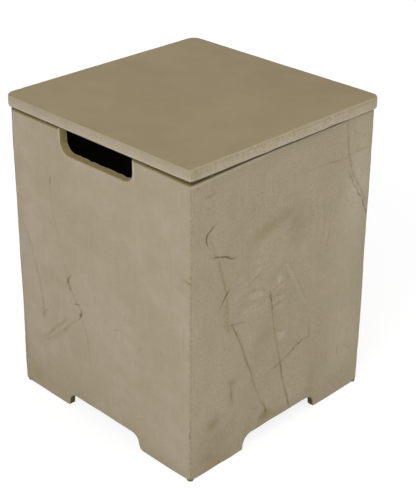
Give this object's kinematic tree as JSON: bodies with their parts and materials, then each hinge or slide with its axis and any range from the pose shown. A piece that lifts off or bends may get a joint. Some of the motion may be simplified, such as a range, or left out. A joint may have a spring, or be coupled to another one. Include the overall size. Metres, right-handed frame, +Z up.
{
  "type": "propane tank cover table",
  "caption": "Hollow square side table in cast artificial stone: a loose slab lid, handle notches in the rim and arched feet, sized to hide an upright gas cylinder.",
  "frame": {"origin": "centre of the footprint, on the floor", "axes": "+Z up; the front wall with a handle notch faces -Y, the back wall with the other notch faces +Y, and the plain side walls face +X and -X"},
  "size_m": [0.403, 0.403, 0.51],
  "materials": {
    "cast_stone": "matte",
    "guide_plastic": "matte",
    "pad_rubber": "matte",
    "screw_steel": "satin",
    "insert_brass": "satin"
  },
  "bodies": {
    "body": {"body_shell": "cast_stone", "foot_pad_back_right": "pad_rubber", "foot_pad_back_left": "pad_rubber", "foot_pad_front_left": "pad_rubber", "foot_pad_front_right": "pad_rubber"},
    "lid": {"lid_slab": "cast_stone", "lid_bumper_back_right": "pad_rubber", "lid_bumper_back_left": "pad_rubber", "lid_bumper_front_left": "pad_rubber", "lid_bumper_front_right": "pad_rubber", "locator_guide_back_right": "guide_plastic", "locator_guide_back_left": "guide_plastic", "locator_guide_front_left": "guide_plastic", "locator_guide_front_right": "guide_plastic", "locator_screws": "screw_steel", "screw_inserts": "insert_brass"}
  },
  "joints": [
    {"name": "lid_lift", "type": "slide", "parent": "body", "child": "lid", "axis": [0, 0, 1], "range_m": [0, 0.3]}
  ]
}
